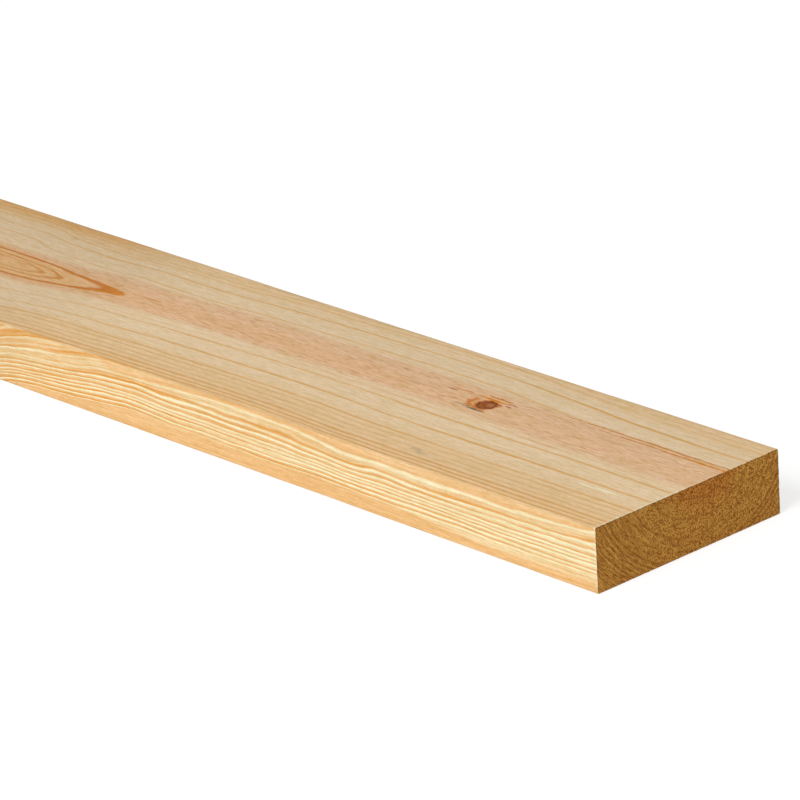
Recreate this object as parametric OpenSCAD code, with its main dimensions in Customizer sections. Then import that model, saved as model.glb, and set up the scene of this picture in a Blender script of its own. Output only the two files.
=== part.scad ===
// Dressed softwood plank, one straight length of sawn and planed stock.
// It lies flat: length along X, width along Y, thickness up Z.
// The origin is the centre of the bottom face.

/* [Stock] */
// Length from one sawn end to the other
plank_l = 2438; // [300:1:6100]
// Width of the two broad faces, edge to edge
plank_w = 140; // [60:1:300]
// Thickness between the two broad faces
plank_t = 38; // [16:1:100]

/* [Edges] */
// Radius that eases the four planed long edges
arris_r = 1; // [0.25:0.25:6]

/* [Hidden] */

// Sides of a full circle in the preview
$fn = 64;

// Flat left on the broad faces between the eased edges
face_w = plank_w - 2 * arris_r;
// Flat left on the narrow faces between the eased edges
edge_h = plank_t - 2 * arris_r;

// Cross-section in its own plane: width across, thickness up, resting on the axis
module eased_section() {
    translate([-face_w / 2, 0])
        square([face_w, plank_t]);
    translate([-plank_w / 2, arris_r])
        square([plank_w, edge_h]);
    for (side = [-1, 1])
        for (level = [arris_r, plank_t - arris_r])
            translate([side * face_w / 2, level])
                circle(r = arris_r);
}

// The whole stick: the eased section run along X, with both ends sawn square and crisp
module plank() {
    color("burlywood")
        rotate([90, 0, 90])
            linear_extrude(height = plank_l, center = true)
                eased_section();
}

plank();
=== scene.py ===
"""Looks of a dressed pine plank: one detailed board with solid grain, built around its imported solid."""
import math
from typing import NamedTuple

import bmesh
import bpy
from mathutils import Matrix, Vector, noise


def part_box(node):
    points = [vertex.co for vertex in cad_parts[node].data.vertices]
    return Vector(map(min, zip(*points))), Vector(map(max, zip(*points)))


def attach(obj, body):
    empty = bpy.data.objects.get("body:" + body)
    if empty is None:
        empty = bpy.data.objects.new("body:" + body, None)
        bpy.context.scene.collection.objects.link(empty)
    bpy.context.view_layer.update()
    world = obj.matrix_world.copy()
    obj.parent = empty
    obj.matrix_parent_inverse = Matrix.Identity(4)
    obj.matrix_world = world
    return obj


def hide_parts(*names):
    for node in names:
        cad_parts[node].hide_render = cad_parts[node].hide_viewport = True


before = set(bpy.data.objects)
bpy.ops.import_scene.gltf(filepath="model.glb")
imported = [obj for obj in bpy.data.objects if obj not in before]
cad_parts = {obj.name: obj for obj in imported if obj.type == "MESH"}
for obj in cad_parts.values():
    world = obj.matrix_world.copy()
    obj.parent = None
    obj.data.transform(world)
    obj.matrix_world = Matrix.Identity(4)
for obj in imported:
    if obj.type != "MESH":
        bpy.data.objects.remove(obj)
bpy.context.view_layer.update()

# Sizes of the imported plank. Lengths are in millimetres unless a name ends in _M, and angles in degrees.
MM = 0.001
LOW_M, HIGH_M = (Vector(corner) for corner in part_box("plank"))
LENGTH, WIDTH, THICK = (HIGH_M - LOW_M) / MM
NEAR_END = HIGH_M.x / MM
ARRIS_R = 1.0
# A point nearer than this to a face lies on it
ON_FACE = 0.01

# Camera, fitted to the plank's edges in the 800 x 800 photograph
PHOTO_PX = 800
FOCAL_PX = 5333.6
SENSOR = 36.0
VIEW_AZIMUTH, VIEW_ELEVATION, VIEW_ROLL = 48.03, 21.43, -3.55
VIEW_DISTANCE_M = 3.018
VIEW_TARGET_M = Vector((HIGH_M.x - 0.2492, 0.0234, 0.019))

# Light: one soft key from the front, an even sky, and a floor that looks whiter than it lights the plank
KEY_TOWARDS = Vector((0.10, -0.74, 0.66))
KEY_STRENGTH = 2.31
KEY_ANGLE = 30.0
SKY_STRENGTH = 0.30
FLOOR_SIZE_M = 30.0
FLOOR_DROP_M = 0.0002
FLOOR_BOUNCE = 0.8
FLOOR_SEEN_DIFFUSE = 0.4
FLOOR_SEEN_GLOW = 0.72

# Steps of the mesh
STEP_ALONG = 6.0
STEP_ACROSS = 3.5
STEP_UP = 3.0
ARC_STEPS = 3
HALF_CORNER = 45.0
END_STEP = 0.35
END_GROWTH = 0.3
CAP_CUTS = 2
KNOT_CUTS = 4
KNOT_MARGIN = 7.0
SHARP_ANGLE = 50.0

# Charts of the baked map: the stretch that the photograph shows gets more texels
PHOTO_REACH = 660.0
PHOTO_DENSITY = 1.4
SHEET = 1062.0
CHART_GAP = 4.0

# Relief: dished knots, slightly worn long edges, and sawn ends with torn rims
KNOT_DISH, KNOT_RIM, KNOT_RIM_WIDTH = 0.28, 0.12, 1.1
ARRIS_WEAR, ARRIS_WEAR_LENGTH = 0.18, 60.0
SAW_DEPTH, SAW_GRAIN = 0.10, 1.3
TORN_DEPTH, TORN_LEAST, TORN_GRAIN, TORN_REACH = 0.55, 0.2, 1.7, 0.55
# Shifts of the noise that set the four edges and the two ends apart
EDGE_SHIFT_Y, EDGE_SHIFT_Z = 0.3, 0.5
SAW_SHIFT, TORN_SHIFT = 3.1, 7.7

# Knots: distance from the near end, place across the top face, radius there, and how far each
# moves towards the near end and across for every millimetre down
KNOTS = (
    (169.5, 16.1, 6.7, 0.30, 0.25),
    (934.0, 2.0, 4.6, 0.35, -0.15),
    (1402.0, -9.0, 7.2, 0.30, -0.35),
    (2031.0, 15.0, 5.2, 0.30, 0.30),
)
KNOT_SPREAD = 0.006

# Pith, as (distance from the near end, value): its place across the width and its height above the top
PITH_ACROSS = (
    (0, 9.5), (110, 11), (250, 11.5), (330, 10.8), (400, 7.5), (450, 5), (467, 4.8), (500, 2.3),
    (540, -0.7), (640, -1.6), (800, 1), (1000, 6), (1250, 3), (1500, -4), (1750, 2), (2000, 8),
    (2250, 4), (2438, 0),
)
PITH_ABOVE = (
    (0, 13), (330, 12), (450, 12.2), (467, 11.7), (490, 10.9), (520, 9.4), (540, 7.4), (600, 6),
    (700, 7.5), (850, 12), (1000, 14), (1200, 12), (1350, 8), (1500, 5.5), (1650, 8), (1900, 13),
    (2150, 10), (2300, 7), (2438, 8),
)
# Growth of the inner rings towards the butt of the tree, weaker in the outer rings
RING_SWELL = (
    (0, 0), (200, 0.5), (330, 1.5), (400, 2.5), (450, 4), (500, 5.5), (540, 6.8), (700, 7.5),
    (1000, 6), (1400, 8), (1800, 6.5), (2438, 9),
)
SWELL_FULL, SWELL_FAINT, SWELL_LEAST = 45.0, 60.0, 0.25
# Sway of the grain along the plank, widest beside the knots, of the rings in the top face
SWAY_NEAR = (
    (0, -1.1), (50, 0), (100, 0.9), (150, 1.3), (190, 1.5), (220, 0.8), (262, -0.4), (300, -0.6),
    (345, 0), (385, -1.0), (410, -1.8), (445, -1.8), (475, -1.0), (560, 0), (800, 0.5), (934, 2.0),
    (1000, 0.5), (1200, -1), (1402, 2.5), (1480, 0), (1700, -1), (2031, 2), (2120, 0), (2438, 0),
)
# Sway of the first rings in the near side
SWAY_EDGE = (
    (0, -1.0), (20, -0.2), (45, 0.6), (75, 1.4), (100, 1.7), (130, 1.9), (150, 1.8), (165, 1.5),
    (190, 2.6), (210, 2.2), (230, 1.7), (250, 0.8), (280, 1.0), (300, 0.6), (345, 0), (385, -2.2),
    (410, -2.6), (445, -2), (475, -1.2), (560, 0), (800, 0.5), (934, 2.5), (1000, 0.5), (1200, -1),
    (1402, 3), (1480, 0), (1700, -1), (2031, 2.5), (2120, 0), (2438, 0),
)
# Extra sway of the very first ring there
SWAY_FIRST = (
    (0, -0.6), (25, 0.3), (50, 0.6), (75, 0.3), (100, 0), (150, 0), (180, -0.5), (205, -0.7),
    (230, -0.4), (260, 0), (380, 0), (430, 0.5), (470, 1.2), (560, 1.2), (700, 0), (2438, 0),
)
# Sway of the last rings in the near side
SWAY_LOW = (
    (0, -1.2), (100, 0.4), (200, 0.4), (250, 0.6), (300, 0), (350, -0.9), (400, -2.7), (450, -2.1),
    (475, -1.5), (560, 0), (934, 1), (1200, -0.5), (1402, 1.2), (1700, -0.5), (2031, 1), (2438, 0),
)
# Sway of the rings beyond the pith
SWAY_FAR = (
    (0, 0.3), (60, -0.9), (110, 0.8), (160, 3.3), (207, 5), (260, 3.8), (325, 1.4), (400, 0),
    (470, -0.6), (540, -3), (575, 1.5), (600, 4), (650, 1.5), (800, 0), (934, 3), (1010, 0),
    (1300, 0), (1402, 3.5), (1480, 0), (1800, -1), (2031, 3.5), (2110, 0), (2438, 0),
)
# Where these begin and are full: the last one beside the pith, the others by the ring's radius
SWAY_BLEND = 6.0
SWAY_NONE, SWAY_FULL = 22.0, 36.0
EDGE_NONE, EDGE_FULL = 88.0, 94.0
FIRST_FROM, FIRST_FULL, FIRST_LEAVE, FIRST_TO = 80.0, 87.0, 91.0, 95.0
LOW_NONE, LOW_FULL = 94.0, 105.0
# The outer rings are closer together on the far side
FAR_SQUEEZE, SQUEEZE_NONE, SQUEEZE_FULL = 3.0, 46.0, 57.0
# Each ring's centre lies higher than the pith by this share of its radius
ECCENTRIC = 0.265
# Small waves of all the grain, of the outer wood and of the core: how far, and size along and across
GRAIN_WAVES = ((0.40, 260.0, 60.0), (0.36, 75.0, 18.0), (0.15, 22.0, 4.0))
OUTER_WAVES = ((0.24, 42.0, 5.0), (0.14, 17.0, 3.0))
CORE_WAVES = ((0.16, 16.0, 1.3), (0.12, 7.0, 0.8))
WAVE_SHIFT = 5.3
CORE_FULL, CORE_NONE = 13.0, 20.0

# Rings: outer radius, how dark the late wood is, and how wide it is
RINGS = (
    (4.6, 0.90, 1.2), (7.2, 1.20, 1.5), (11.9, 1.60, 2.3), (25.0, 0.22, 2.0), (30.2, 0.68, 2.2),
    (45.3, 0.76, 2.4), (60.2, 0.64, 2.4), (64.4, 0.52, 2.0), (70.0, 0.40, 2.6), (74.6, 0.40, 2.6),
    (79.4, 0.95, 2.4), (83.3, 1.05, 2.1), (86.9, 1.00, 2.0), (90.2, 0.58, 1.2), (93.6, 1.05, 1.3),
    (95.7, 1.00, 0.9), (98.0, 1.00, 0.9), (99.7, 0.85, 0.8), (101.3, 1.05, 0.8), (103.6, 1.00, 0.9),
    (105.5, 1.05, 0.9), (116.5, 0.80, 3.0), (118.5, 0.90, 1.0), (121.0, 0.90, 1.2),
    (125.0, 0.90, 1.6), (131.0, 0.90, 2.0),
)
# Share of the late wood's width that is fully dark, the soft outer edge of a ring, how much a ring fades
# and darkens along its length, and how early wood turns darker towards the late wood
LATE_PLATEAU = 0.40
RING_EDGE, CORE_EDGE = 0.10, 0.50
RING_FADE = 0.20
EARLY_BLUSH, EARLY_BLUSH_POWER = 0.13, 2.0
# Rings of the outer wood stay pale for a short way, then turn tan, and a dark line ends them
OUTER_NONE, OUTER_FULL, OUTER_LINE = 85.0, 90.0, 0.42
PALE_FULL, PALE_NONE = 0.3, 1.5
# How much narrower the pale part is along the plank, and how strong the rings are there
PALE_NARROW = ((0, 1.0), (170, 1.05), (290, 1.35), (480, 1.45), (700, 1.2), (2438, 1.2))
OUTER_ALONG = ((0, 0.84), (200, 0.86), (300, 0.90), (400, 1.0), (480, 1.08), (700, 1.0), (2438, 1.0))
# Streaks and fine lines run through these rings, but less in the dark lines
OUTER_STREAK, OUTER_FINE, LINE_CALM = 0.08, 0.29, 0.6
# Further along, inner rings of the near side have such bands too, but not on the top face
BANDS_FROM, BANDS_TO, BANDS_SHIFT = 385.0, 425.0, 10.0
BANDS_NONE, BANDS_FULL = 0.5, 1.5
# There the rings are weaker, and the wood between them has lines of its own
CLOSE_NONE, CLOSE_FULL, CLOSE_CALM = 97.0, 90.0, 0.26
CLOSE_LINES, CLOSE_TAN = 0.44, 0.15
# The last wide ring of the near side is tan all through, but paler for a while at the near end
TAN_NONE, TAN_FULL, TAN_SHARE, TAN_FINE = 105.5, 106.6, 0.67, 0.10
TAN_LATER, TAN_LATER_FULL, TAN_LATER_NONE, TAN_LATER_SHARE = 3.4, 90.0, 160.0, 0.28
# Lines that fade: the inner ones on the near side past a place along the length, and the first and
# the outer ones beyond the pith
LINES_FROM, FADE_MARGIN = 18.0, 2.0
FAINT_RADIUS, FAINT_FROM, FAINT_TO, FAINT_SHARE = 50.0, 400.0, 500.0, 0.40
FAR_FAINT_RADIUS, FAR_FAINT_SHARE = 36.0, 0.25
FAR_OUTER_RADIUS, FAR_OUTER_SHARE = 53.0, 0.35
# Darker band along the far edge of the top: how far across it starts, how far down it fades, and how
# dark it is along the plank
FAR_BAND_NONE, FAR_BAND_FULL, FAR_BAND_DEPTH = 54.0, 66.0, 4.0
FAR_BAND_ALONG = ((0, 0), (430, 0), (520, 0.35), (600, 0.7), (700, 0.6), (850, 0), (2438, 0))

# Lightness along the length and across the width
TONE_ALONG = (
    (0, 1.02), (120, 1.0), (400, 1.0), (470, 0.97), (540, 0.91), (700, 0.93), (1000, 1.0), (1500, 0.95),
    (2000, 1.0), (2438, 0.96),
)
TONE_ACROSS = ((-70, 0.98), (-58, 1.005), (0, 1.01), (35, 0.955), (70, 0.93))
# Painted shade on the near top edge, which dims the arris where it catches the key light: how far from the
# edge, how far down, and by how much
ARRIS_SHADE_NONE, ARRIS_SHADE_FULL = 2.2, 0.8
ARRIS_SHADE_DEPTH_NONE, ARRIS_SHADE_DEPTH_FULL = 1.4, 0.4
ARRIS_PAINTED_SHADE = 0.16
# Painted shade along the top and the sides of the sawn ends, darkest at the rim: how wide, and by how much
END_SHADE_WIDTH, END_RIM_PAINTED_SHADE = 1.3, 0.35
# Share of red, green and blue that the heart keeps in the sawn ends
END_REDNESS = (0.95, 0.77, 0.71)
# Share of red, green and blue in the variation between fibres
WARMTH = (0.4, 0.5, 1.0)
# How much lighter each kind of noise makes the wood, with more contrast between the heart's fibres
FIBRE_LIGHT, HEART_FIBRE_LIGHT, FLECK_LIGHT = 0.24, 0.12, 0.14
STREAK_LIGHT, CLOUD_LIGHT, FINE_LIGHT = 0.10, 0.03, -0.08

# Heartwood stripe round the pith: its place beside the pith along the plank, its reach and its strength
HEART_BESIDE = ((0, 4.5), (430, 4.5), (520, 2), (650, -1), (900, 2), (2438, 2))
HEART_FULL, HEART_NONE, HEART_UNEVEN = 18.0, 23.5, 0.8
HEART_SHARE = 0.74
HEART_CORE_NONE, HEART_CORE_FULL, HEART_CORE_SHARE = 8.0, 13.0, 0.45
# Short dashes and flecks, as (noise where there is none, noise where it is full, strength)
HEART_DASH_FADE = (0.35, 1.0, 0.75)
RESIN_DASH_FADE, RESIN_DASH_STREAK = (0.9, 1.5, 0.4), 0.5
PALE_FLECK_FADE = (-0.8, -1.4, 0.35)

# Sawn ends: how square to the length a surface is, and the speckle, which is calmer towards the near
# side and in the late wood, where thin arcs show instead
END_GRAIN_NONE, END_GRAIN_FULL = 0.6, 0.85
CALM_NONE, CALM_FULL, CALM_SHARE = -20.0, -46.0, 0.6
ARCS_SHARE, ARCS_CALM_SHARE, BLOTCH_SHARE = 0.2, 0.5, 0.10
SPECKLE_DARK, SPECKLE_LIGHT = -0.75, 0.65
END_LINES = 0.48
END_HEART_FULL, END_HEART_NONE, END_HEART_UNEVEN = 18.0, 38.0, 4.0

# Torn fibres along the saw cuts: how far from the end, how far down the top, where across it, and how far
# in from the near side, where they are weaker
FRINGE_NONE, FRINGE_FULL, FRINGE_UNEVEN = 1.6, 0.2, 1.3
FRINGE_TOP_NONE, FRINGE_TOP_FULL = 2.0, 1.0
FRINGE_ACROSS_NONE, FRINGE_ACROSS_FULL = 25.0, -20.0
FRINGE_SIDE_FADE = (1.5, 0.8, 0.5)
FRINGE_GAPS_NONE, FRINGE_GAPS_FULL, FRINGE_LEAST = 0.8, -0.4, 0.3
FRINGE_SHARE = 0.9

# Parts of a knot, as (distance where there is none, where it is full, strength) in shares of its radius
KNOT_FADE = (1.02, 0.82, 1.0)
KNOT_RING_FADE, KNOT_RING_STRANDS = (1.25, 0.98, 0.75), 0.10
KNOT_SHADE_FADE = (0.5, 0.8, 0.4)
EYE_FADE, EYE_ALONG, EYE_ACROSS = (0.42, 0.1, 0.5), 0.25, 0.2
WHORL_TURNS, WHORL_RAGGED, WHORL_SHARE = 12.0, 2.5, 0.6
HALO_FADE, HALO_STRANDS, HALO_STRETCH = (1.6, 1.1, 0.55), 0.3, 0.4
CRESCENT_FADE, CRESCENT_STRANDS, CRESCENT_AT = (0.25, 0.04, 0.75), 0.12, 1.14
KNOT_RAGGED, HALO_RAGGED = 0.11, 0.12
# The side of a knot that has the halo and the crescent: how far off its middle, away from the near end
LOBE_NONE, LOBE_FULL, LOBE_SLANT = 1.0, 8.0, 1.2

# Surface: heights of fibres, late wood and speckle for the bump, and the roughness of each
BUMP_STRENGTH, BUMP_M = 0.25, 0.0002
FIBRE_HEIGHT, LATE_HEIGHT, SPECKLE_HEIGHT = 0.35, 0.5, 0.8
ROUGH_PLAIN, ROUGH_LATE, ROUGH_END, ROUGH_FIBRE = 0.62, -0.12, 0.2, 0.02
SPECULAR = 0.06


class Noise(NamedTuple):
    """Noise in the wood: size of features along, across and up, a shift that sets it apart, and detail."""
    along: float
    across: float
    up: float
    shift: float
    detail: float = 1.0


FIBRES = Noise(9.0, 1.2, 1.2, shift=2.1, detail=3.0)
FLECKS = Noise(3.0, 0.7, 0.7, shift=1.7)
STREAKS = Noise(90.0, 2.0, 2.0, shift=8.4, detail=3.0)
CLOUDS = Noise(120.0, 30.0, 30.0, shift=4.9)
FINE_LINES = Noise(130.0, 0.7, 1.0, shift=6.6)
CLOSER_LINES = Noise(110.0, 1.0, 1.0, shift=9.3)
RING_FADES = Noise(70.0, 0.27, 1.0, shift=4.1)
DASHES = Noise(9.0, 0.9, 0.9, shift=6.2)
FRINGE = Noise(40.0, 1.6, 1.6, shift=3.3, detail=2.0)
KNOT_EDGES = Noise(4.0, 3.0, 9.0, shift=9.1, detail=2.0)
KNOT_STRANDS = Noise(7.0, 1.2, 9.0, shift=3.7)
MARK_DRIFTS = Noise(30.0, 8.0, 8.0, shift=7.7)
MARK_BREAKS = Noise(4.0, 1.5, 1.5, shift=5.9)
END_SPECKLE = Noise(60.0, 0.75, 0.75, shift=1.4)
END_ARCS = Noise(0.7, 6.0, 6.0, shift=5.1)
END_BLOTCHES = Noise(60.0, 12.0, 8.0, shift=2.9, detail=2.0)
NOISE_ROUGHNESS, NOISE_GAIN = 0.55, 4.0


def linear(red, green, blue):
    """An 8-bit sRGB colour as the linear RGBA that shaders take."""
    def channel(value):
        value /= 255
        return value / 12.92 if value <= 0.04045 else ((value + 0.055) / 1.055) ** 2.4
    return (channel(red), channel(green), channel(blue), 1.0)


# Early and late wood by ring radius: (radius, early, late)
WOOD_TONES = (
    (7.4, linear(239, 192, 128), linear(216, 146, 66)),
    (9.4, linear(239, 192, 128), linear(184, 98, 36)),
    (10.4, linear(239, 192, 130), linear(206, 120, 32)),
    (12.2, linear(238, 194, 136), linear(222, 144, 48)),
    (14.0, linear(239, 198, 146), linear(222, 156, 70)),
    (20.0, linear(241, 213, 173), linear(226, 170, 90)),
    (48.0, linear(241, 213, 172), linear(226, 170, 88)),
    (62.0, linear(240, 207, 160), linear(227, 170, 92)),
    (76.0, linear(240, 206, 158), linear(228, 172, 102)),
    (87.0, linear(242, 207, 155), linear(231, 173, 104)),
    (90.1, linear(243, 206, 154), linear(232, 171, 100)),
    (90.6, linear(247, 236, 192), linear(229, 160, 76)),
    (131.0, linear(247, 236, 192), linear(229, 160, 78)),
)
HEART_PINK = linear(234, 187, 143)
HEART_DASH = linear(206, 138, 92)
PALE_FLECK = linear(251, 234, 202)
RESIN_DASH = linear(221, 160, 92)
END_LIGHT = linear(236, 176, 84)
END_DARK = linear(152, 88, 26)
END_ARC = linear(138, 72, 20)
KNOT_BROWN = linear(172, 98, 44)
KNOT_TAN = linear(196, 148, 96)
KNOT_DARK = linear(112, 54, 20)
KNOT_HALO = linear(224, 152, 84)
KNOT_RIM_TONE = linear(204, 116, 34)
TORN_FIBRE = linear(246, 230, 192)
RESIN_ORANGE = linear(220, 148, 68)
RESIN_BROWN = linear(202, 122, 40)
STREAK_ORANGE = linear(226, 138, 14)
BARK_BROWN = linear(150, 78, 44)
STAIN_GREY = linear(112, 110, 100)
SCUFF_GREY = linear(168, 156, 134)
SCRATCH_PALE = linear(255, 244, 206)

# Marks in the skin of the top face: how deep, and how their outlines drift, break up and fade
MARK_DEPTH_NONE, MARK_DEPTH_FULL = 1.5, 0.5
MARK_DRIFT, MARK_BREAK = 0.5, 0.4
MARK_NONE, MARK_FULL = 1.25, 0.45
# Distance from the near end, place across, half length, half width, tone and strength of each mark
TOP_MARKS = (
    (48.0, 31.9, 85.0, 0.8, RESIN_BROWN, 0.85),
    (32.0, 28.7, 66.0, 0.8, RESIN_BROWN, 0.80),
    (8.0, 28.5, 30.0, 1.0, STREAK_ORANGE, 0.60),
    (104.0, -6.0, 22.0, 0.7, RESIN_ORANGE, 0.40),
    (240.0, -5.8, 46.0, 0.7, RESIN_ORANGE, 0.35),
    (447.0, 10.0, 9.0, 0.7, RESIN_BROWN, 0.60),
    (170.0, 23.5, 14.0, 1.15, STREAK_ORANGE, 1.00),
    (168.0, 27.2, 10.0, 1.0, RESIN_BROWN, 1.00),
    (196.0, 24.0, 10.0, 0.9, RESIN_ORANGE, 0.90),
    (203.0, 21.8, 5.0, 0.7, BARK_BROWN, 0.75),
    (162.5, 19.6, 2.8, 0.8, BARK_BROWN, 0.85),
    (158.0, 20.8, 3.2, 0.7, BARK_BROWN, 0.75),
    (157.5, 24.6, 3.5, 0.8, BARK_BROWN, 0.70),
    (182.0, 8.3, 7.0, 0.7, STAIN_GREY, 0.50),
    (171.5, 7.2, 8.5, 1.0, STAIN_GREY, 1.00),
    (226.0, 15.5, 6.0, 0.8, STAIN_GREY, 0.40),
    (153.0, -53.2, 5.0, 2.0, SCUFF_GREY, 0.42),
    (147.0, -55.0, 5.0, 1.8, SCUFF_GREY, 0.42),
    (30.0, -30.6, 10.0, 0.9, SCRATCH_PALE, 1.00),
    (44.0, -31.8, 8.0, 0.8, SCRATCH_PALE, 0.95),
)


def make_camera():
    """The photograph's view: a long lens, slightly rolled."""
    azimuth = math.radians(VIEW_AZIMUTH)
    elevation = math.radians(VIEW_ELEVATION)
    roll = math.radians(VIEW_ROLL)
    back = Vector((
        math.sin(azimuth) * math.cos(elevation),
        -math.cos(azimuth) * math.cos(elevation),
        math.sin(elevation),
    ))
    level = Vector((math.cos(azimuth), math.sin(azimuth), 0))
    upright = back.cross(level)
    right = level * math.cos(roll) + upright * math.sin(roll)
    up = upright * math.cos(roll) - level * math.sin(roll)
    data = bpy.data.cameras.new("photo_camera")
    data.sensor_width = SENSOR
    data.lens = FOCAL_PX * SENSOR / PHOTO_PX
    data.clip_end = FLOOR_SIZE_M
    camera = bpy.data.objects.new("photo_camera", data)
    place = VIEW_TARGET_M + back * VIEW_DISTANCE_M
    camera.matrix_world = Matrix.Translation(place) @ Matrix((right, up, back)).transposed().to_4x4()
    bpy.context.collection.objects.link(camera)
    bpy.context.scene.camera = camera


def side_profile(span, step):
    """(place along the side, depth below its face) from one eased corner's middle to the next."""
    turns = [math.radians(HALF_CORNER + HALF_CORNER * i / ARC_STEPS) for i in range(ARC_STEPS + 1)]
    lead = [(ARRIS_R * (1 - math.cos(t)), ARRIS_R * (1 - math.sin(t))) for t in turns]
    flat = span - 2 * ARRIS_R
    count = round(flat / step)
    middle = [(ARRIS_R + flat * i / count, 0.0) for i in range(1, count)]
    return lead + middle + [(span - place, depth) for place, depth in reversed(lead)]


def section_sides():
    """The four sides of the section as lists of (y, z), near to far and bottom to top."""
    across = side_profile(WIDTH, STEP_ACROSS)
    upward = side_profile(THICK, STEP_UP)
    return {
        "bottom": [(s - WIDTH / 2, d) for s, d in across],
        "top": [(s - WIDTH / 2, THICK - d) for s, d in across],
        "near": [(d - WIDTH / 2, s) for s, d in upward],
        "far": [(WIDTH / 2 - d, s) for s, d in upward],
    }


def stations_along():
    """Distances from the near end of the rings of vertices, closer together at both ends."""
    places = [0.0]
    while places[-1] < LENGTH / 2:
        places.append(places[-1] + min(END_STEP + END_GROWTH * places[-1], STEP_ALONG))
    fit = LENGTH / 2 / places[-1]
    half = [place * fit for place in places]
    return half + [LENGTH - place for place in reversed(half[:-1])]


def patch_point(sides, i, j):
    """Point (y, z) of the grid that fills the section between its four sides."""
    bottom, top, near, far = (sides[name] for name in ("bottom", "top", "near", "far"))
    u = i / (len(bottom) - 1)
    v = j / (len(near) - 1)
    point = []
    for k in range(2):
        ruled = (1 - v) * bottom[i][k] + v * top[i][k] + (1 - u) * near[j][k] + u * far[j][k]
        low = (1 - u) * bottom[0][k] + u * bottom[-1][k]
        high = (1 - u) * top[0][k] + u * top[-1][k]
        point.append(ruled - (1 - v) * low - v * high)
    return point


class Chart(NamedTuple):
    """A stretch of one face in the baked map, and how many texels it gets."""
    side: str
    start: float
    stop: float
    height: float
    density: float = 1.0


def pack_charts(along):
    """Lays the faces' charts in rows of the unit square; returns a look-up of map places."""
    photo_stop = min(along, key=lambda a: abs(a - PHOTO_REACH))
    charts = []
    for side, height in (("top", WIDTH), ("bottom", WIDTH), ("near", THICK), ("far", THICK)):
        start = 0.0
        if side in ("top", "near"):
            charts.append(Chart(side, 0.0, photo_stop, height, PHOTO_DENSITY))
            start = photo_stop
        while start < LENGTH:
            stop = max(a for a in along if a <= start + SHEET - 2 * CHART_GAP)
            charts.append(Chart(side, start, stop, height))
            start = stop
    charts.append(Chart("near_end", 0.0, WIDTH, THICK, PHOTO_DENSITY))
    charts.append(Chart("far_end", 0.0, WIDTH, THICK))
    charts.sort(key=lambda c: (-c.height * c.density, (c.start - c.stop) * c.density))

    rows = []
    spots = {}
    level = CHART_GAP / 2
    for side, start, stop, height, density in charts:
        wide = (stop - start) * density + CHART_GAP
        row = next((r for r in rows if r["used"] + wide <= SHEET), None)
        if row is None:
            row = {"level": level, "used": CHART_GAP / 2}
            rows.append(row)
            level += height * density + CHART_GAP
        spots.setdefault(side, []).append((start, stop, row["used"], row["level"], density))
        row["used"] += wide
    sheet = max(SHEET, level)

    def place(side, middle, point):
        run = point.y + WIDTH / 2 if side.endswith("_end") else NEAR_END - point.x
        rise_up = point.y + WIDTH / 2 if side in ("top", "bottom") else point.z
        for start, stop, u, v, density in spots[side]:
            if start <= middle <= stop:
                return ((u + (run - start) * density) / sheet, (v + rise_up * density) / sheet)
    return place


def build_board():
    """The closed board with its map, before any relief."""
    sides = section_sides()
    bottom, top, near, far = (sides[name] for name in ("bottom", "top", "near", "far"))
    wide, high = len(bottom) - 1, len(near) - 1
    outline = bottom[:-1] + far[:-1] + top[:0:-1] + near[:0:-1]
    names = ["bottom"] * wide + ["far"] * high + ["top"] * wide + ["near"] * high
    along = stations_along()
    place = pack_charts(along)
    mesh = bmesh.new()
    layer = mesh.loops.layers.uv.new("OFBake")

    def add_face(corners, side, middle):
        face = mesh.faces.new(corners)
        for corner in face.loops:
            corner[layer].uv = place(side, middle, corner.vert.co)

    rings = [[mesh.verts.new((NEAR_END - a, y, z)) for y, z in outline] for a in along]
    for first, second, start, stop in zip(rings, rings[1:], along, along[1:]):
        for k, side in enumerate(names):
            following = (k + 1) % len(outline)
            corners = (first[k], first[following], second[following], second[k])
            add_face(corners, side, (start + stop) / 2)

    for ring, name in ((rings[0], "near_end"), (rings[-1], "far_end")):
        grid = {}
        for i in range(wide + 1):
            grid[i, 0] = ring[i]
            grid[i, high] = ring[2 * wide + high - i]
        for j in range(1, high):
            grid[wide, j] = ring[wide + j]
            grid[0, j] = ring[2 * wide + 2 * high - j]
            for i in range(1, wide):
                grid[i, j] = mesh.verts.new((ring[0].co.x, *patch_point(sides, i, j)))
        for j in range(high):
            for i in range(wide):
                corners = (grid[i, j], grid[i + 1, j], grid[i + 1, j + 1], grid[i, j + 1])
                add_face(corners, name, 0.0)
    bmesh.ops.recalc_face_normals(mesh, faces=mesh.faces)
    return mesh


def knot_at(knot, z):
    """Centre (along, across) and radius of a knot at a height in the plank."""
    along, across, radius, lean_along, lean_across = knot
    depth = THICK - z
    return along - lean_along * depth, across + lean_across * depth, radius * (1 + KNOT_SPREAD * depth)


def subdivide(mesh, faces, cuts):
    """Cuts faces into a finer grid."""
    edges = {edge for face in faces for edge in face.edges}
    bmesh.ops.subdivide_edges(mesh, edges=list(edges), cuts=cuts, use_grid_fill=True)


def refine(mesh):
    """Finer faces on the two ends and around the knots, where the relief is small."""
    subdivide(mesh, [face for face in mesh.faces if abs(face.normal.x) > 0.5], CAP_CUTS)
    for knot in KNOTS:
        for z in (0.0, THICK):
            along, across, radius = knot_at(knot, z)
            reach = radius + KNOT_MARGIN
            around = []
            for face in mesh.faces:
                middle = face.calc_center_median()
                off = max(abs(NEAR_END - middle.x - along), abs(middle.y - across))
                if abs(middle.z - z) < ON_FACE and off < reach:
                    around.append(face)
            subdivide(mesh, around, KNOT_CUTS)


def wave(x, y, z):
    """Smooth noise from about -1 to 1, the same on every run."""
    return noise.noise(Vector((x, y, z)))


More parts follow.
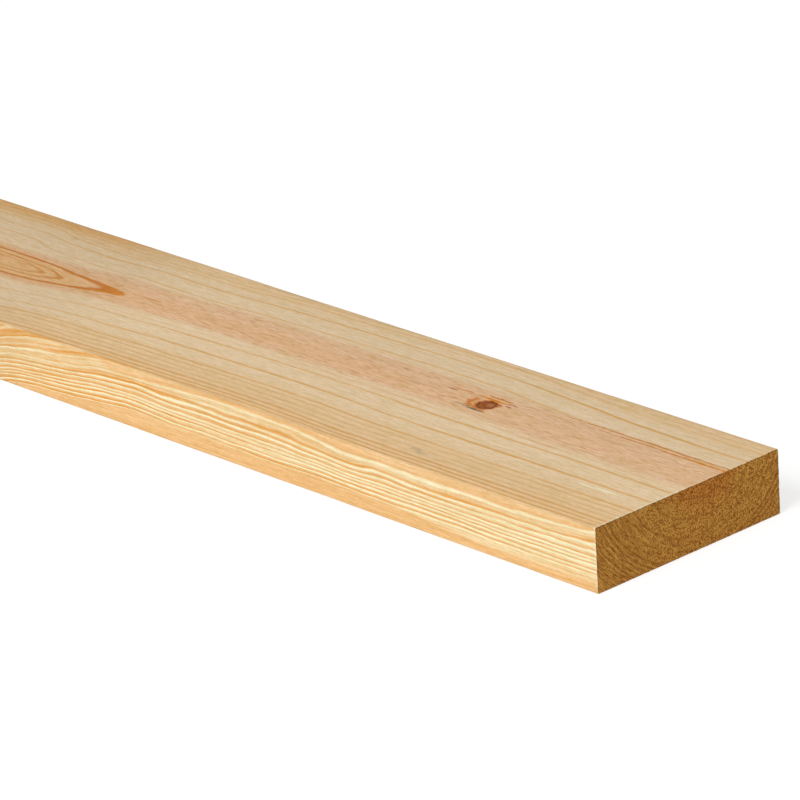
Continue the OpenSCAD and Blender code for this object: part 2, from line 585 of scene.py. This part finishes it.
def knot_relief(along, y, z):
    """Height of the dished knots and their rims above a broad face."""
    height = 0.0
    for knot in KNOTS:
        centre, across, radius = knot_at(knot, z)
        gap = math.hypot(along - centre, y - across)
        if gap < radius + KNOT_MARGIN:
            height += KNOT_RIM * math.exp(-((gap - radius) / KNOT_RIM_WIDTH) ** 2)
            height -= KNOT_DISH * math.sqrt(max(0.0, 1 - gap / radius))
    return height


def end_relief(y, z, sign):
    """Shift of a point on a sawn end: saw marks inside, torn fibres round the rim."""
    in_y = WIDTH / 2 - abs(y)
    in_z = THICK / 2 - abs(z - THICK / 2)
    saw = SAW_DEPTH * wave(y / SAW_GRAIN, z / SAW_GRAIN, SAW_SHIFT * sign)
    shift = Vector((sign * saw * min(1, in_y, in_z), 0, 0))
    if min(in_y, in_z) < TORN_REACH:
        uneven = abs(wave(y / TORN_GRAIN, z / TORN_GRAIN, TORN_SHIFT * sign))
        torn = TORN_DEPTH * (TORN_LEAST + uneven)
        if in_y < in_z:
            shift.y = -math.copysign(torn, y)
        else:
            shift.z = -math.copysign(torn, z - THICK / 2)
    return shift


def add_relief(mesh):
    """Moves the vertices by the small relief of a real board."""
    for vertex in mesh.verts:
        x, y, z = vertex.co
        along = NEAR_END - x
        if min(along, LENGTH - along) < ON_FACE:
            vertex.co += end_relief(y, z, 1 if along < LENGTH / 2 else -1)
            continue
        in_y = WIDTH / 2 - abs(y)
        in_z = THICK / 2 - abs(z - THICK / 2)
        if max(in_y, in_z) < ARRIS_R:
            uneven = wave(along / ARRIS_WEAR_LENGTH, y * EDGE_SHIFT_Y, z * EDGE_SHIFT_Z)
            worn = ARRIS_WEAR * max(0.0, uneven)
            vertex.co -= Vector((0, math.copysign(worn, y), math.copysign(worn, z - THICK / 2)))
        elif in_z < ON_FACE:
            vertex.co.z += math.copysign(1, z - THICK / 2) * knot_relief(along, y, z)


def make_board():
    """The board as a Blender object in metres."""
    mesh = build_board()
    refine(mesh)
    add_relief(mesh)
    for vertex in mesh.verts:
        vertex.co *= MM
    data = bpy.data.meshes.new("pine_plank")
    mesh.to_mesh(data)
    mesh.free()
    data.shade_smooth()
    data.set_sharp_from_angle(angle=math.radians(SHARP_ANGLE))
    board = bpy.data.objects.new("pine_plank", data)
    bpy.context.collection.objects.link(board)
    return board


class Field:
    """A value that varies over the wood: an output socket of a node tree, with arithmetic."""

    def __init__(self, socket):
        self.socket = socket
        self.tree = socket.id_data

    def __add__(self, other):
        return calculate("ADD", self, other)

    __radd__ = __add__

    def __sub__(self, other):
        return calculate("SUBTRACT", self, other)

    def __rsub__(self, other):
        return calculate("SUBTRACT", other, self)

    def __mul__(self, other):
        return calculate("MULTIPLY", self, other)

    __rmul__ = __mul__

    def __truediv__(self, other):
        return calculate("DIVIDE", self, other)

    def __pow__(self, other):
        return calculate("POWER", self, other)


def add_node(tree, kind, inputs=None, **settings):
    """A new node with its settings; inputs are wired from fields or set to plain values."""
    node = tree.nodes.new(kind)
    for name, value in settings.items():
        setattr(node, name, value)
    for key, value in (inputs or {}).items():
        if isinstance(value, Field):
            tree.links.new(value.socket, node.inputs[key])
        else:
            node.inputs[key].default_value = value
    return node


def tree_of(*values):
    """Node tree of the first field among values."""
    return next(value.tree for value in values if isinstance(value, Field))


def calculate(operation, *values):
    """Result of a math node."""
    node = add_node(tree_of(*values), "ShaderNodeMath", dict(enumerate(values)), operation=operation)
    return Field(node.outputs[0])


def root(value):
    """Square root."""
    return calculate("SQRT", value)


def rise(value, low, high):
    """0 at low and before, 1 at high and beyond, smooth between; low may be the larger one."""
    inputs = {"Value": value, "From Min": low, "From Max": high}
    node = add_node(tree_of(value), "ShaderNodeMapRange", inputs, interpolation_type="SMOOTHSTEP")
    return Field(node.outputs[0])


def faded(value, fade):
    """Strength of a tone; fade says where it is none, where it is full, and how strong it is there."""
    none, full, strength = fade
    return rise(value, none, full) * strength


def curve(value, points, straight=False):
    """A curve through the given (place, height) points."""
    first, last = points[0][0], points[-1][0]
    low = min(height for _, height in points)
    high = max(height for _, height in points)
    inputs = {"Value": (value - first) / (last - first)}
    node = add_node(value.tree, "ShaderNodeFloatCurve", inputs)
    drawn = node.mapping.curves[0]
    for _ in points[2:]:
        drawn.points.new(0.5, 0.5)
    for point, (place, height) in zip(drawn.points, points):
        point.location = ((place - first) / (last - first), (height - low) / (high - low))
        point.handle_type = "VECTOR" if straight else "AUTO_CLAMPED"
    node.mapping.update()
    return Field(node.outputs[0]) * (high - low) + low


def tone_ramp(value, tones):
    """Colour along a list of (place, colour)."""
    first, last = tones[0][0], tones[-1][0]
    node = add_node(value.tree, "ShaderNodeValToRGB", {"Fac": (value - first) / (last - first)})
    stops = node.color_ramp.elements
    for place, _ in tones[1:-1]:
        stops.new((place - first) / (last - first))
    for stop, (_, colour) in zip(stops, tones):
        stop.color = colour
    return Field(node.outputs["Color"])


def vector(x, y, z):
    """Vector of three values or fields."""
    node = add_node(tree_of(x, y, z), "ShaderNodeCombineXYZ", {"X": x, "Y": y, "Z": z})
    return Field(node.outputs[0])


def grain_noise(place, kind):
    """Noise from about -1 to 1 at a place (along, across, up)."""
    along, across, up = place
    moved = vector(along / kind.along + kind.shift, across / kind.across, up / kind.up)
    inputs = {"Vector": moved, "Scale": 1.0, "Detail": kind.detail, "Roughness": NOISE_ROUGHNESS}
    node = add_node(along.tree, "ShaderNodeTexNoise", inputs)
    return Field(node.outputs[0]) * NOISE_GAIN - NOISE_GAIN / 2


def mixed(first, second, share):
    """Colour from first to second."""
    node = add_node(share.tree, "ShaderNodeMix", {"Factor": share}, data_type="RGBA")
    sockets = {socket.identifier: socket for socket in node.inputs}
    for key, value in (("A_Color", first), ("B_Color", second)):
        if isinstance(value, Field):
            node.id_data.links.new(value.socket, sockets[key])
        else:
            sockets[key].default_value = value
    return Field(next(socket for socket in node.outputs if socket.identifier == "Result_Color"))


def shaded(colour, amount):
    """Colour made lighter or darker by a factor that varies."""
    node = add_node(colour.tree, "ShaderNodeVectorMath", {0: colour, "Scale": amount}, operation="SCALE")
    return Field(node.outputs[0])


def coloured(colour, factors):
    """Colour with its red, green and blue each multiplied by a factor that varies."""
    inputs = {0: colour, 1: vector(*factors)}
    node = add_node(colour.tree, "ShaderNodeVectorMath", inputs, operation="MULTIPLY")
    return Field(node.outputs[0])


def toned(colour, amount):
    """Colour made paler, or for negative amounts darker and warmer."""
    return coloured(colour, (amount * share + 1 for share in WARMTH))


def blend(first, second, share):
    """Value from first to second."""
    return first + (second - first) * share


def grain_sway(along, radius, far_side):
    """How far the grain sways along the plank, by where the ring lies."""
    sway = blend(curve(along, SWAY_NEAR), curve(along, SWAY_EDGE), rise(radius, EDGE_NONE, EDGE_FULL))
    first = rise(radius, FIRST_FROM, FIRST_FULL) * rise(radius, FIRST_TO, FIRST_LEAVE)
    sway = sway + curve(along, SWAY_FIRST) * first
    sway = blend(sway, curve(along, SWAY_LOW), rise(radius, LOW_NONE, LOW_FULL))
    sway = blend(sway, curve(along, SWAY_FAR), far_side)
    return sway * rise(radius, SWAY_NONE, SWAY_FULL)


def add_waves(radius, place):
    """Radius with the small waves of the grain."""
    outer = rise(radius, OUTER_NONE, OUTER_FULL)
    core = rise(radius, CORE_NONE, CORE_FULL)
    waves = [(1.0, shape) for shape in GRAIN_WAVES]
    waves += [(outer, shape) for shape in OUTER_WAVES]
    waves += [(core, shape) for shape in CORE_WAVES]
    for i, (share, (depth, length, width)) in enumerate(waves):
        kind = Noise(length, width, width, shift=WAVE_SHIFT * i)
        radius = radius + grain_noise(place, kind) * (share * depth)
    return calculate("MAXIMUM", radius, 0.0)


def growth_radius(place):
    """Radius, measured at the near end, of the growth ring at a point, and 1 if it is beyond the pith."""
    along, across, up = place
    beside = across - curve(along, PITH_ACROSS)
    below = up - THICK - curve(along, PITH_ABOVE)
    lift = below * ECCENTRIC
    spread = (beside * beside + below * below) * (1 - ECCENTRIC ** 2)
    radius = (root(lift * lift + spread) - lift) / (1 - ECCENTRIC ** 2)
    far_side = rise(beside, -SWAY_BLEND, SWAY_BLEND)
    swell = rise(radius, SWELL_FAINT, SWELL_FULL) * (1 - SWELL_LEAST) + SWELL_LEAST
    sway = grain_sway(along, radius, far_side)
    squeeze = far_side * rise(radius, SQUEEZE_NONE, SQUEEZE_FULL) * FAR_SQUEEZE
    radius = radius - curve(along, RING_SWELL) * swell - sway + squeeze
    return add_waves(radius, place), far_side


def banded_share(far_side, place):
    """1 where the inner rings of the near side have the look of outer wood."""
    along, _, up = place
    return rise(along, BANDS_FROM, BANDS_TO) * rise(THICK - up, BANDS_NONE, BANDS_FULL) * (1 - far_side)


def ring_facts(radius):
    """The ring's number, the ways in from its start and to its end, its late wood's width and darkness."""
    edges = [0.0] + [edge for edge, _, _ in RINGS]
    number = calculate("FLOOR", curve(radius, [(edge, i) for i, edge in enumerate(edges)], straight=True))

    def of_ring(values):
        # The last value holds for half a ring more, which keeps the last number inside the curve
        points = list(enumerate(values)) + [(len(values) - 0.5, values[-1])]
        return curve(number, points, straight=True)
    since = radius - of_ring(edges[:-1])
    left = of_ring(edges[1:]) - radius
    width = of_ring([late for _, _, late in RINGS])
    strength = of_ring([dark for _, dark, _ in RINGS])
    return number, since, left, width, strength


def line_share(radius, far_side, along):
    """Share of the late wood that is left where lines fade."""
    past_core = rise(radius, LINES_FROM - FADE_MARGIN, LINES_FROM + FADE_MARGIN)
    inner = rise(radius, FAINT_RADIUS + FADE_MARGIN, FAINT_RADIUS - FADE_MARGIN)
    faint = inner * rise(along, FAINT_FROM, FAINT_TO) * FAINT_SHARE
    far_inner = rise(radius, FAR_FAINT_RADIUS + FADE_MARGIN, FAR_FAINT_RADIUS - FADE_MARGIN)
    far_outer = rise(radius, FAR_OUTER_RADIUS - FADE_MARGIN, FAR_OUTER_RADIUS + FADE_MARGIN)
    far_faint = far_inner * FAR_FAINT_SHARE + far_outer * FAR_OUTER_SHARE
    return 1 - past_core * blend(faint, far_faint, far_side)


def late_wood(radius, bands, far_side, along, streak, fine):
    """Share of late wood, from 0 in early wood to 1 in the darkest lines, and the thin lines alone."""
    number, since, left, width, strength = ring_facts(radius)
    line = rise(left, width, width * LATE_PLATEAU)
    inner = line + (since / (since + left)) ** EARLY_BLUSH_POWER * EARLY_BLUSH
    tan = rise(since * curve(along, PALE_NARROW), PALE_FULL, PALE_NONE)
    outer = (line * OUTER_LINE + tan * (1 - OUTER_LINE)) * curve(along, OUTER_ALONG)
    in_outer = rise(bands, OUTER_NONE, OUTER_FULL)
    edge = rise(radius, CORE_NONE, CORE_FULL) * (CORE_EDGE - RING_EDGE) + RING_EDGE
    late = blend(inner, outer, in_outer) * rise(left, 0.0, edge)
    fade = grain_noise((along, number, 0.0), RING_FADES)
    late = late * strength * (fade * RING_FADE + 1) * line_share(radius, far_side, along)
    late = late + in_outer * (streak * OUTER_STREAK + fine * OUTER_FINE) * (1 - line * LINE_CALM)
    return calculate("MINIMUM", calculate("MAXIMUM", late, 0.0), 1.0), line * strength


def tan_share(radius, along):
    """Least share of late wood in the wide ring at the foot of the near side."""
    paler = rise(along, TAN_LATER_NONE, TAN_LATER_FULL)
    start = rise(radius, TAN_NONE, TAN_FULL) * TAN_LATER_SHARE
    return blend(start, TAN_SHARE, rise(radius - paler * TAN_LATER, TAN_NONE, TAN_FULL))


def heart_reach(place):
    """Distance from the middle of the heartwood."""
    along, across, up = place
    beside = across - curve(along, PITH_ACROSS) - curve(along, HEART_BESIDE)
    below = up - THICK - curve(along, PITH_ABOVE)
    return root(beside * beside + below * below)


def ring_wood(place, radius, far_side, streak, fine):
    """Colour of the rings, their share of late wood, and their thin lines alone."""
    along, across, up = place
    banded = banded_share(far_side, place)
    bands = radius + banded * BANDS_SHIFT
    late, lines = late_wood(radius, bands, far_side, along, streak, fine)
    close = banded * rise(radius, CLOSE_NONE, CLOSE_FULL)
    closer = grain_noise((along, radius, 0.0), CLOSER_LINES)
    late = late * (1 - close * CLOSE_CALM) + close * (closer * CLOSE_LINES + CLOSE_TAN)
    far_band = rise(across, FAR_BAND_NONE, FAR_BAND_FULL) * rise(up, THICK - FAR_BAND_DEPTH, THICK)
    late = late + far_band * curve(along, FAR_BAND_ALONG)
    late = calculate("MAXIMUM", late, tan_share(radius, along) + fine * TAN_FINE)
    late = calculate("MINIMUM", late, 1.0)
    early_tone = tone_ramp(bands, [(edge, early) for edge, early, _ in WOOD_TONES])
    late_tone = tone_ramp(bands, [(edge, dark) for edge, _, dark in WOOD_TONES])
    return mixed(early_tone, late_tone, late), late, lines


def add_heart(wood, place, radius, late, heart, streak):
    """Pink heart with dark dashes, resin dashes outside it, and pale flecks."""
    pink = rise(radius, HEART_CORE_NONE, HEART_CORE_FULL) * (1 - HEART_CORE_SHARE) + HEART_CORE_SHARE
    wood = mixed(wood, HEART_PINK, heart * (1 - late) * pink * HEART_SHARE)
    dash = grain_noise(place, DASHES)
    resin = dash + streak * RESIN_DASH_STREAK
    wood = mixed(wood, HEART_DASH, faded(dash, HEART_DASH_FADE) * heart)
    wood = mixed(wood, RESIN_DASH, faded(resin, RESIN_DASH_FADE) * (1 - heart))
    return mixed(wood, PALE_FLECK, faded(dash, PALE_FLECK_FADE))


def add_shade(wood, place):
    """Lightness along and across the plank, and painted shade on the near top edge, where the arris
    catches the key light.
    """
    along, across, up = place
    wood = shaded(wood, curve(along, TONE_ALONG) * curve(across, TONE_ACROSS))
    # Painted shade: darkens the near top arris, which the key light makes bright
    on_edge = rise(across + WIDTH / 2, ARRIS_SHADE_NONE, ARRIS_SHADE_FULL)
    near_top = rise(THICK - up, ARRIS_SHADE_DEPTH_NONE, ARRIS_SHADE_DEPTH_FULL)
    return shaded(wood, 1 - on_edge * near_top * ARRIS_PAINTED_SHADE)


def add_knots(wood, place):
    """Brown knots with a tan eye and a dark rim, and a resin crescent with a halo on one side."""
    along, across, up = place
    depth = THICK - up
    ragged = grain_noise(place, KNOT_EDGES)
    strands = grain_noise(place, KNOT_STRANDS)
    for at, beside, radius, lean_along, lean_across in KNOTS:
        off_along = along - at + depth * lean_along
        off_across = across - beside - depth * lean_across
        size = depth * (KNOT_SPREAD * radius) + radius
        square_along = off_along * off_along
        square_across = off_across * off_across
        gap = root(square_along + square_across) / size + ragged * KNOT_RAGGED
        long_gap = root(square_along * HALO_STRETCH + square_across) / size + ragged * HALO_RAGGED
        lobe = rise(off_along - off_across * LOBE_SLANT, LOBE_NONE, LOBE_FULL)
        halo = faded(long_gap + strands * HALO_STRANDS, HALO_FADE) * lobe
        ripple = calculate("ABSOLUTE", long_gap - CRESCENT_AT + strands * CRESCENT_STRANDS)
        crescent = faded(ripple + ragged * HALO_RAGGED, CRESCENT_FADE) * lobe
        wood = mixed(wood, KNOT_HALO, halo)
        wood = mixed(wood, KNOT_RIM_TONE, crescent)
        wood = mixed(wood, KNOT_RIM_TONE, faded(gap + strands * KNOT_RING_STRANDS, KNOT_RING_FADE))
        eye_along = off_along + size * EYE_ALONG
        eye_across = off_across - size * EYE_ACROSS
        eye = root(eye_along * eye_along + eye_across * eye_across) / size
        whorl = calculate("SINE", eye * WHORL_TURNS + ragged * WHORL_RAGGED) * 0.5 + 0.5
        core = mixed(KNOT_BROWN, KNOT_DARK, whorl * WHORL_SHARE + faded(gap, KNOT_SHADE_FADE))
        core = mixed(core, KNOT_TAN, faded(eye + ragged * HALO_RAGGED, EYE_FADE))
        wood = mixed(wood, core, faded(gap, KNOT_FADE))
    return wood


def add_marks(wood, place):
    """Resin streaks, stains and scuffs on the top face."""
    along, across, up = place
    on_top = rise(THICK - up, MARK_DEPTH_NONE, MARK_DEPTH_FULL)
    drift = grain_noise(place, MARK_DRIFTS)
    broken = grain_noise(place, MARK_BREAKS)
    for at, beside, length, width, tone, strength in TOP_MARKS:
        run = (along - at) / length
        off = (across - beside + drift * MARK_DRIFT) / width
        gap = root(run * run + off * off) + broken * MARK_BREAK
        wood = mixed(wood, tone, rise(gap, MARK_NONE, MARK_FULL) * on_top * strength)
    return wood


def end_wood(place, radius, lines, reach):
    """Colour of the sawn ends: golden speckle, dark arcs of late wood, a redder heart, and painted shade
    along the rim.
    """
    _, across, up = place
    speckle = grain_noise(place, END_SPECKLE)
    arcs = grain_noise((radius, across, up), END_ARCS)
    blotch = grain_noise(place, END_BLOTCHES)
    calm = calculate("MAXIMUM", rise(across, CALM_NONE, CALM_FULL), lines) * CALM_SHARE
    grainy = speckle * (1 - calm) + arcs * (calm * ARCS_CALM_SHARE + ARCS_SHARE) + blotch * BLOTCH_SHARE
    cut = mixed(END_DARK, END_LIGHT, rise(grainy, SPECKLE_DARK, SPECKLE_LIGHT))
    cut = mixed(cut, END_ARC, lines * END_LINES)
    # Painted shade along the top and side rims of the sawn end
    inside = calculate("MINIMUM", WIDTH / 2 - calculate("ABSOLUTE", across), THICK - up)
    cut = shaded(cut, 1 - rise(inside, END_SHADE_WIDTH, 0.0) * END_RIM_PAINTED_SHADE)
    heart = rise(reach + blotch * END_HEART_UNEVEN, END_HEART_NONE, END_HEART_FULL)
    return coloured(cut, (1 - heart * (1 - share) for share in END_REDNESS)), speckle


def add_torn_fibres(wood, place, end_grain):
    """Pale torn fibres along the saw cuts, on the top and on the near side."""
    along, across, up = place
    fringe = grain_noise(place, FRINGE)
    to_end = calculate("MINIMUM", along, LENGTH - along)
    on_top = rise(THICK - up, FRINGE_TOP_NONE, FRINGE_TOP_FULL)
    on_top = on_top * rise(across, FRINGE_ACROSS_NONE, FRINGE_ACROSS_FULL)
    on_side = faded(across + WIDTH / 2, FRINGE_SIDE_FADE)
    gaps = rise(fringe, FRINGE_GAPS_NONE, FRINGE_GAPS_FULL) * (1 - FRINGE_LEAST) + FRINGE_LEAST
    torn = rise(to_end + fringe * FRINGE_UNEVEN, FRINGE_NONE, FRINGE_FULL) * gaps
    torn = torn * calculate("MAXIMUM", on_top, on_side)
    return mixed(wood, TORN_FIBRE, torn * (1 - end_grain) * FRINGE_SHARE)


def wood_place(tree):
    """Place in the wood (from the near end, across, up) in millimetres, and 1 on the sawn ends."""
    where = add_node(tree, "ShaderNodeTexCoord")
    spot = add_node(tree, "ShaderNodeSeparateXYZ", {0: Field(where.outputs["Object"])})
    facing = add_node(tree, "ShaderNodeSeparateXYZ", {0: Field(where.outputs["Normal"])})
    along = NEAR_END - Field(spot.outputs["X"]) / MM
    place = (along, Field(spot.outputs["Y"]) / MM, Field(spot.outputs["Z"]) / MM)
    square = calculate("ABSOLUTE", Field(facing.outputs["X"]))
    return place, rise(square, END_GRAIN_NONE, END_GRAIN_FULL)


def wood_material():
    """Solid pine: rings round a pith, heartwood, fibres, knots and sawn ends."""
    material = bpy.data.materials.new("pine")
    material.use_nodes = True
    tree = material.node_tree
    tree.nodes.clear()
    place, end_grain = wood_place(tree)
    fibre = grain_noise(place, FIBRES)
    fleck = grain_noise(place, FLECKS)
    streak = grain_noise(place, STREAKS)
    cloud = grain_noise(place, CLOUDS)
    radius, far_side = growth_radius(place)
    fine = grain_noise((place[0], radius, 0.0), FINE_LINES)

    wood, late, lines = ring_wood(place, radius, far_side, streak, fine)
    reach = heart_reach(place)
    heart = rise(reach + streak * HEART_UNEVEN + cloud * HEART_UNEVEN, HEART_NONE, HEART_FULL)
    wood = add_heart(wood, place, radius, late, heart, streak)
    lighter = fibre * (heart * HEART_FIBRE_LIGHT + FIBRE_LIGHT) + fleck * FLECK_LIGHT
    lighter = lighter + streak * STREAK_LIGHT + cloud * CLOUD_LIGHT + fine * FINE_LIGHT
    wood = add_shade(toned(wood, lighter), place)
    cut, speckle = end_wood(place, radius, lines, reach)
    wood = mixed(wood, cut, end_grain)
    wood = add_knots(wood, place)
    wood = add_marks(wood, place)
    wood = add_torn_fibres(wood, place, end_grain)

    height = fibre * FIBRE_HEIGHT + late * LATE_HEIGHT + end_grain * speckle * SPECKLE_HEIGHT
    bump = add_node(tree, "ShaderNodeBump", {
        "Strength": BUMP_STRENGTH,
        "Distance": BUMP_M,
        "Height": height,
    })
    rough = late * ROUGH_LATE + end_grain * ROUGH_END + fibre * ROUGH_FIBRE + ROUGH_PLAIN
    shader = add_node(tree, "ShaderNodeBsdfPrincipled", {
        "Base Color": wood,
        "Roughness": rough,
        "Specular IOR Level": SPECULAR,
        "Normal": Field(bump.outputs[0]),
    })
    add_node(tree, "ShaderNodeOutputMaterial", {"Surface": Field(shader.outputs[0])})
    return material


def seen_share(tree):
    """1 for what the camera sees, directly, mirrored or through glass."""
    path = add_node(tree, "ShaderNodeLightPath")
    seen = calculate("MAXIMUM", Field(path.outputs["Is Camera Ray"]), Field(path.outputs["Is Glossy Ray"]))
    return calculate("MAXIMUM", seen, Field(path.outputs["Is Transmission Ray"]))


def make_sky():
    """White to look at, dimmer as a light."""
    world = bpy.data.worlds.new("studio")
    world.use_nodes = True
    tree = world.node_tree
    tree.nodes.clear()
    strength = seen_share(tree) * (1 - SKY_STRENGTH) + SKY_STRENGTH
    sky = add_node(tree, "ShaderNodeBackground", {"Color": (1, 1, 1, 1), "Strength": strength})
    add_node(tree, "ShaderNodeOutputWorld", {"Surface": Field(sky.outputs[0])})
    bpy.context.scene.world = world


def make_floor():
    """White floor that keeps the plank's shadow."""
    material = bpy.data.materials.new("floor_white")
    material.use_nodes = True
    tree = material.node_tree
    tree.nodes.clear()
    seen = seen_share(tree)
    tone = seen * (FLOOR_SEEN_DIFFUSE - FLOOR_BOUNCE) + FLOOR_BOUNCE
    diffuse = add_node(tree, "ShaderNodeBsdfDiffuse", {"Color": vector(tone, tone, tone)})
    glow = add_node(tree, "ShaderNodeEmission", {"Strength": seen * FLOOR_SEEN_GLOW})
    both = add_node(tree, "ShaderNodeAddShader", {0: Field(diffuse.outputs[0]), 1: Field(glow.outputs[0])})
    add_node(tree, "ShaderNodeOutputMaterial", {"Surface": Field(both.outputs[0])})
    half = FLOOR_SIZE_M / 2
    data = bpy.data.meshes.new("floor")
    corners = [(-half, -half, 0), (half, -half, 0), (half, half, 0), (-half, half, 0)]
    data.from_pydata(corners, [], [(0, 1, 2, 3)])
    data.materials.append(material)
    floor = bpy.data.objects.new("floor", data)
    floor.location.z = LOW_M.z - FLOOR_DROP_M
    bpy.context.collection.objects.link(floor)


def make_key_light():
    """Soft key light from the front."""
    data = bpy.data.lights.new("key", "SUN")
    data.energy = KEY_STRENGTH
    data.angle = math.radians(KEY_ANGLE)
    key = bpy.data.objects.new("key", data)
    key.rotation_euler = KEY_TOWARDS.to_track_quat("Z", "Y").to_euler()
    bpy.context.collection.objects.link(key)


bpy.context.scene.view_settings.view_transform = "Standard"
make_camera()
make_sky()
make_floor()
make_key_light()
board = make_board()
board.data.materials.append(wood_material())
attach(board, "root")
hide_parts("plank")
